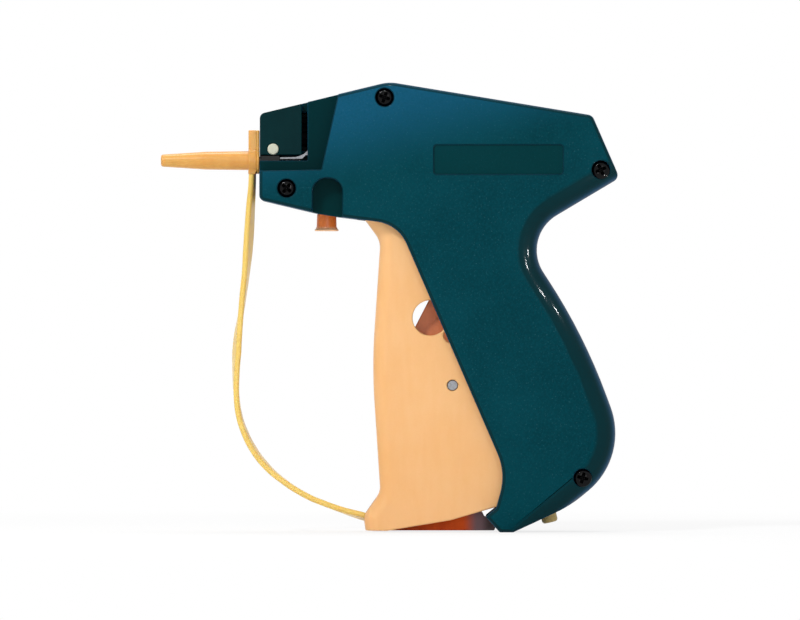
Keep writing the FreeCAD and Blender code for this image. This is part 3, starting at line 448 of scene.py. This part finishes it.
def skin(node, name, edge, shape=None):
    """A merged copy of a CAD node with softened sharp edges, so that its rounds shade smoothly."""
    made = bpy.data.objects.new(name, nodes[node].data.copy())
    scene.collection.objects.link(made)
    edit(made)
    bpy.ops.mesh.select_all(action="SELECT")
    bpy.ops.mesh.remove_doubles(threshold=0.001 * MM)
    bpy.ops.mesh.dissolve_limited(angle_limit=math.radians(0.6))
    if shape:
        shape(made)
    smooth(made, edge)
    stand_for(made, node)
    return made


TIP_ROUND = 0.65 * MM
# The row of the photograph where the strap's ring ends and its band starts
EYE_FOOT_ROW = 174.0


def round_tip(made):
    """Round the far rim of the needle cap."""
    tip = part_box("needle_cap")[0][0]
    bpy.ops.mesh.select_mode(type="EDGE")
    pick(made, edges=lambda place: place.x < tip + 0.05 * MM)
    bpy.ops.mesh.bevel(offset=TIP_ROUND, segments=5, affect="EDGES")


def eye_only(made):
    """Keep the ring and the tab, and leave the band below them to its own piece."""
    bpy.ops.mesh.select_all(action="SELECT")
    below = (0.0, 0.0, at(0.0, EYE_FOOT_ROW)[1])
    bpy.ops.mesh.bisect(plane_co=below, plane_no=(0.0, 0.0, 1.0), use_fill=True,
                        clear_inner=True)


# How far the sharp edges of each moulded or machined piece are rounded
SOFT_EDGES = {
    "left_shell": 0.22 * MM, "right_shell": 0.22 * MM, "nose_block": 0.2 * MM,
    "trigger": 0.3 * MM, "drive_lever": 0.25 * MM, "carriage": 0.2 * MM,
    "strap_socket": 0.2 * MM, "rod_guide": 0.2 * MM, "spring_seat": 0.2 * MM,
    "needle_cap": 0.25 * MM, "cap_strap": 0.2 * MM, "strap_wedge": 0.3 * MM,
    "nose_pin": 0.25 * MM, "link_pin": 0.2 * MM, "trigger_pin": 0.2 * MM,
    "fulcrum_pin": 0.2 * MM, "drive_pin": 0.2 * MM, "clamp_plate": 0.15 * MM,
    "needle_hub": 0.1 * MM, "feed_wheel": 0.08 * MM, "feed_pawl": 0.1 * MM,
    "clip_guide": 0.1 * MM, "feed_axle": 0.1 * MM,
}
SHAPES = {"needle_cap": round_tip, "cap_strap": eye_only}
# Nodes that get no skin, because a new piece stands for all of them
NEW_PIECES = ("shell_screws", "lock_knob", "base_peg")
skins = {node: skin(node, node + "_skin", SOFT_EDGES.get(node, 0.0), SHAPES.get(node))
         for node in slot_of if node not in NEW_PIECES}
# The ring is as deep in colour as the cap that it holds
skins["cap_strap"].data.materials[0] = OWN_FINISHES["needle_cap"]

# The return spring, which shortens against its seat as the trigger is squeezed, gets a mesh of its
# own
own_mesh(skins["return_spring"])


# Cross-head screws

# Column, row and turn in degrees of each head
SCREWS_PX = (
    (384.6, 97.7, 20.0), (286.8, 188.4, 40.0), (600.5, 170.0, 65.0), (582.4, 477.6, 15.0),
)
HEAD_RADIUS = 2.6 * MM
HEAD_BACK = -10.3 * MM
HEAD_RIM = -11.2 * MM
# Each step of the dome: how far in and how far out, in millimetres
DOME_STEPS = ((0.35, 0.3), (0.5, 0.22), (0.6, 0.12), (0.6, 0.05))
SHAFT_INSET = 1.1 * MM
SHAFT_LONG = 17.4 * MM
# The cross: its plane, and each arm's length, half width and the stretch that deepens it
CROSS_FACE = -11.85 * MM
CROSS_LONG, CROSS_HALF, CROSS_DEEPEN = 3.2 * MM, 0.5 * MM, 1.8


def screw():
    """One screw on the frame's upright axis: rim, dome, shaft and a cross in the head."""
    bpy.ops.mesh.primitive_cylinder_add(
        vertices=48, radius=HEAD_RADIUS, depth=HEAD_BACK - HEAD_RIM,
        location=(0.0, (HEAD_BACK + HEAD_RIM) / 2, 0.0), rotation=(math.pi / 2, 0.0, 0.0))
    made = settle(named("casing_screw"))
    edit(made)
    pick(made, faces=lambda place, normal: normal.y < -0.9)
    for inset, rise in DOME_STEPS:
        bpy.ops.mesh.inset(thickness=inset * MM)
        bpy.ops.transform.translate(value=(0.0, -rise * MM, 0.0))
    pick(made, faces=lambda place, normal: normal.y > 0.9)
    bpy.ops.mesh.inset(thickness=SHAFT_INSET)
    bpy.ops.mesh.extrude_region_move(TRANSFORM_OT_translate={"value": (0.0, SHAFT_LONG, 0.0)})
    for turn in (0.0, math.pi / 2):
        bpy.ops.object.mode_set(mode="OBJECT")
        fresh()
        bpy.ops.mesh.primitive_cylinder_add(
            vertices=4, radius=CROSS_HALF, depth=CROSS_LONG, location=(0.0, CROSS_FACE, 0.0),
            rotation=(0.0, math.pi / 2 + turn, 0.0))
        arm = named("cross_arm")
        arm.scale.y = CROSS_DEEPEN
        carve(made, settle(arm))
    smooth(made, 0.08 * MM, 40)
    return made


pattern_screw = screw()
for number, (column, row, turn) in enumerate(SCREWS_PX, 1):
    copy = pattern_screw.copy()
    copy.data = pattern_screw.data.copy()
    copy.name = copy.data.name = f"casing_screw_{number}"
    scene.collection.objects.link(copy)
    x, z = at(column, row)
    copy.location = (x, 0.0, z)
    copy.rotation_euler = (0.0, math.radians(turn), 0.0)
    take(copy)
    bpy.ops.object.transform_apply(location=True, rotation=True, scale=True)
    stand_for(copy, "shell_screws")
bpy.data.objects.remove(pattern_screw)


# Lock knob

def turned(name, rings):
    """A round piece drawn out from a disc, ring after ring, each a height and a radius."""
    (top, width), *others = rings
    bpy.ops.mesh.primitive_circle_add(vertices=64, radius=width, fill_type="NGON",
                                      location=(0.0, 0.0, top))
    made = settle(named(name))
    edit(made)
    bpy.ops.mesh.select_all(action="SELECT")
    for height, radius in others:
        bpy.ops.mesh.extrude_region_move(
            TRANSFORM_OT_translate={"value": (0.0, 0.0, height - top)})
        bpy.ops.transform.resize(value=(radius / width, radius / width, 1.0),
                                 center_override=(0.0, 0.0, height))
        top, width = height, radius
    bpy.ops.object.mode_set(mode="OBJECT")
    return made


knob_low, knob_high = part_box("lock_knob")
COIN_SLOT = (10.0 * MM, 1.6 * MM, 1.4 * MM)
KNOB_RINGS = (
    (at(0.0, 231.0)[1], 3.55 * MM), (at(0.0, 229.6)[1], 3.65 * MM), (at(0.0, 228.6)[1], 3.2 * MM),
    (at(0.0, 226.5)[1], 2.92 * MM), (at(0.0, 214.0)[1], 2.78 * MM), (at(0.0, 213.6)[1], 1.6 * MM),
    (knob_high[2], 1.6 * MM),
)
knob = turned("lock_knob_turned", KNOB_RINGS)
bpy.ops.mesh.primitive_cube_add(size=1.0, location=(0.0, 0.0, knob_low[2]))
coin_slot = named("coin_slot")
coin_slot.scale = COIN_SLOT
carve(knob, settle(coin_slot))
knob.location = ((knob_low[0] + knob_high[0]) / 2, 0.0, 0.0)
settle(knob)
smooth(knob, 0.12 * MM)
stand_for(knob, "lock_knob")


# Peg in the sloping base

PEG_TILT = 13.0
PEG_PX = (550.6, 522.8)
PEG_RINGS = ((0.0, 1.6 * MM), (0.2 * MM, 2.05 * MM), (0.7 * MM, 2.3 * MM), (6.0 * MM, 2.3 * MM))
peg = turned("base_peg_round", PEG_RINGS)
peg_x, peg_z = at(*PEG_PX)
peg.location = (peg_x, 0.0, peg_z)
peg.rotation_euler = (0.0, math.radians(-PEG_TILT), 0.0)
settle(peg)
smooth(peg, 0.1 * MM, 50)
stand_for(peg, "base_peg")


# Strap: a flat band that turns a little to and fro along its way down to the wedge

# Column, row and turn in degrees at each point
STRAP_PX = (
    (252.2, 171.5, 7.0), (251.8, 185.0, 9.0), (250.4, 205.0, 15.0), (248.8, 232.0, 20.0),
    (247.4, 252.0, 18.5), (245.6, 272.0, 11.0), (242.7, 296.0, 6.0), (240.6, 314.0, 0.0),
    (237.9, 334.0, -13.0), (236.5, 352.0, -17.5), (235.7, 372.0, -9.0), (236.2, 396.0, 0.0),
    (238.9, 416.0, 4.0), (244.1, 432.0, 7.0), (251.9, 447.8, 9.0), (264.2, 464.6, 8.0),
    (281.0, 480.0, 2.0), (307.5, 496.8, 0.0), (326.0, 504.5, 0.0), (344.0, 511.0, -5.0),
    (360.0, 515.8, -13.0), (376.0, 520.4, -14.0),
)
BAND_WIDE, BAND_THICK = 5.2 * MM, 1.66 * MM

fresh()
bpy.ops.curve.primitive_bezier_curve_add()
band = named("strap_band")
line = band.data.splines[0]
line.bezier_points.add(len(STRAP_PX) - len(line.bezier_points))
for point, (column, row, turn) in zip(line.bezier_points, STRAP_PX):
    x, z = at(column, row)
    point.co = (x, 0.0, z)
    point.handle_left_type = point.handle_right_type = "AUTO"
    point.tilt = math.radians(90.0 + turn)
band.data.resolution_u = 6
band.data.bevel_depth = BAND_THICK / 2
band.data.bevel_resolution = 3
band.data.extrude = (BAND_WIDE - BAND_THICK) / 2
band.data.use_fill_caps = True
band = settle(band)
smooth(band, 0.0, 50)
stand_for(band, "cap_strap")


# Stage, light and camera

WHITE = (1.0, 1.0, 1.0, 1.0)
# How white the floor glows near the tool, where its full white starts and ends, and its size
FLOOR_GLOW = 0.78
FLOOR_FADE = (0.12, 0.35)
FLOOR_RADIUS = 60.0
# How strongly the air lights the tool, where the camera sees it at 1
AIR_LIGHT = 0.42


def seen_directly(bench):
    """1 for what the camera sees, straight or in a gloss or through glass, and 0 for light."""
    rays = [bench.add("ShaderNodeLightPath", output=f"Is {kind} Ray")
            for kind in ("Camera", "Glossy", "Transmission")]
    return rays[0].larger(rays[1]).larger(rays[2])


def floor_finish():
    """A pale floor that shows white to the camera and keeps the tool's shadow."""
    paint = Finish("studio_white", Roughness=0.9, Specular_IOR_Level=0.0)
    paint.set("Base Color", (0.9, 0.9, 0.9, 1.0))
    glow = paint.add("ShaderNodeEmission", {}, {"Color": WHITE, "Strength": 1.0})
    far = paint.add("ShaderNodeVectorMath", {"operation": "LENGTH"}, [paint.place], "Value")
    share = FLOOR_GLOW + far.above(*FLOOR_FADE) * (1 - FLOOR_GLOW)
    blend = paint.add("ShaderNodeMixShader", {}, {0: seen_directly(paint) * share, 2: glow})
    paint.tree.links.new(paint.shader.outputs[0], blend.socket.node.inputs[1])
    paint.tree.links.new(blend.socket, paint.tree.nodes["Material Output"].inputs[0])
    return paint.material


fresh()
bpy.ops.mesh.primitive_circle_add(vertices=64, radius=FLOOR_RADIUS, fill_type="NGON")
floor = named("studio_floor")
floor.data.materials.append(floor_finish())

world = bpy.data.worlds.new("studio_air")
scene.world = world
world.use_nodes = True
air = Bench(world.node_tree)
background = world.node_tree.nodes["Background"]
background.inputs["Color"].default_value = WHITE
air.feed(background.inputs["Strength"], AIR_LIGHT + seen_directly(air) * (1 - AIR_LIGHT))


def lamp(name, place, aim, wide, tall, power):
    """A square or oblong lamp that faces a point."""
    light = bpy.data.lights.new(name, "AREA")
    light.shape = "RECTANGLE"
    light.size, light.size_y = wide, tall
    light.energy = power
    made = bpy.data.objects.new(name, light)
    scene.collection.objects.link(made)
    made.location = place
    made.rotation_euler = (Vector(aim) - Vector(place)).to_track_quat("-Z", "Y").to_euler()
    return made


lamp("key_light", (-0.35, -0.55, 0.6), (-0.02, 0.0, 0.08), 0.12, 0.12, 3.2)
lamp("fill_light", (0.15, -1.0, 0.2), (0.0, 0.0, 0.06), 0.5, 0.5, 1.5)
lamp("top_light", (0.05, 0.1, 0.8), (0.0, 0.0, 0.06), 0.5, 0.3, 2.8)

# Small lamps seen in glosses alone. Where each stands and the point that it faces, in
# millimetres, its side in millimetres and its power.
GLINTS = (
    ((73.6, -33.3, 87.2), (43.2, -12.0, 72.6), 2.5, 0.008),
    ((82.3, -20.5, 83.6), (48.4, -11.5, 64.1), 2.5, 0.008),
    ((-0.7, -50.7, 161.5), (-0.7, -12.4, 129.3), 2.5, 0.008),
    ((-200.0, -500.0, 450.0), (0.0, 0.0, 80.0), 20.0, 0.4),
)
for number, (stand, mark, side, power) in enumerate(GLINTS, 1):
    stand, mark = [[value * MM for value in point] for point in (stand, mark)]
    glint = lamp(f"glint_light_{number}", stand, mark, side * MM, side * MM, power)
    glint.visible_diffuse = False

# The camera is level. A pixel is at its stated size in the plane that is framed, which lies
# between the tool's middle and its near face.
CAMERA_DISTANCE = 3.0
FRAMED_PLANE = -6.0 * MM
VIEW_CENTRE_PX = (400.0, 310.0)
SENSOR = 36.0
WIDE = 800 * PIXEL
camera_data = bpy.data.cameras.new("photo_camera")
camera_data.lens = SENSOR * CAMERA_DISTANCE / WIDE
camera_data.sensor_width = SENSOR
camera_data.clip_end = 20.0
camera = bpy.data.objects.new("photo_camera", camera_data)
scene.collection.objects.link(camera)
view_x, view_z = at(*VIEW_CENTRE_PX)
camera.location = (view_x, FRAMED_PLANE - CAMERA_DISTANCE, view_z)
camera.rotation_euler = (math.pi / 2, 0.0, 0.0)
scene.camera = camera
scene.view_settings.view_transform = "Standard"
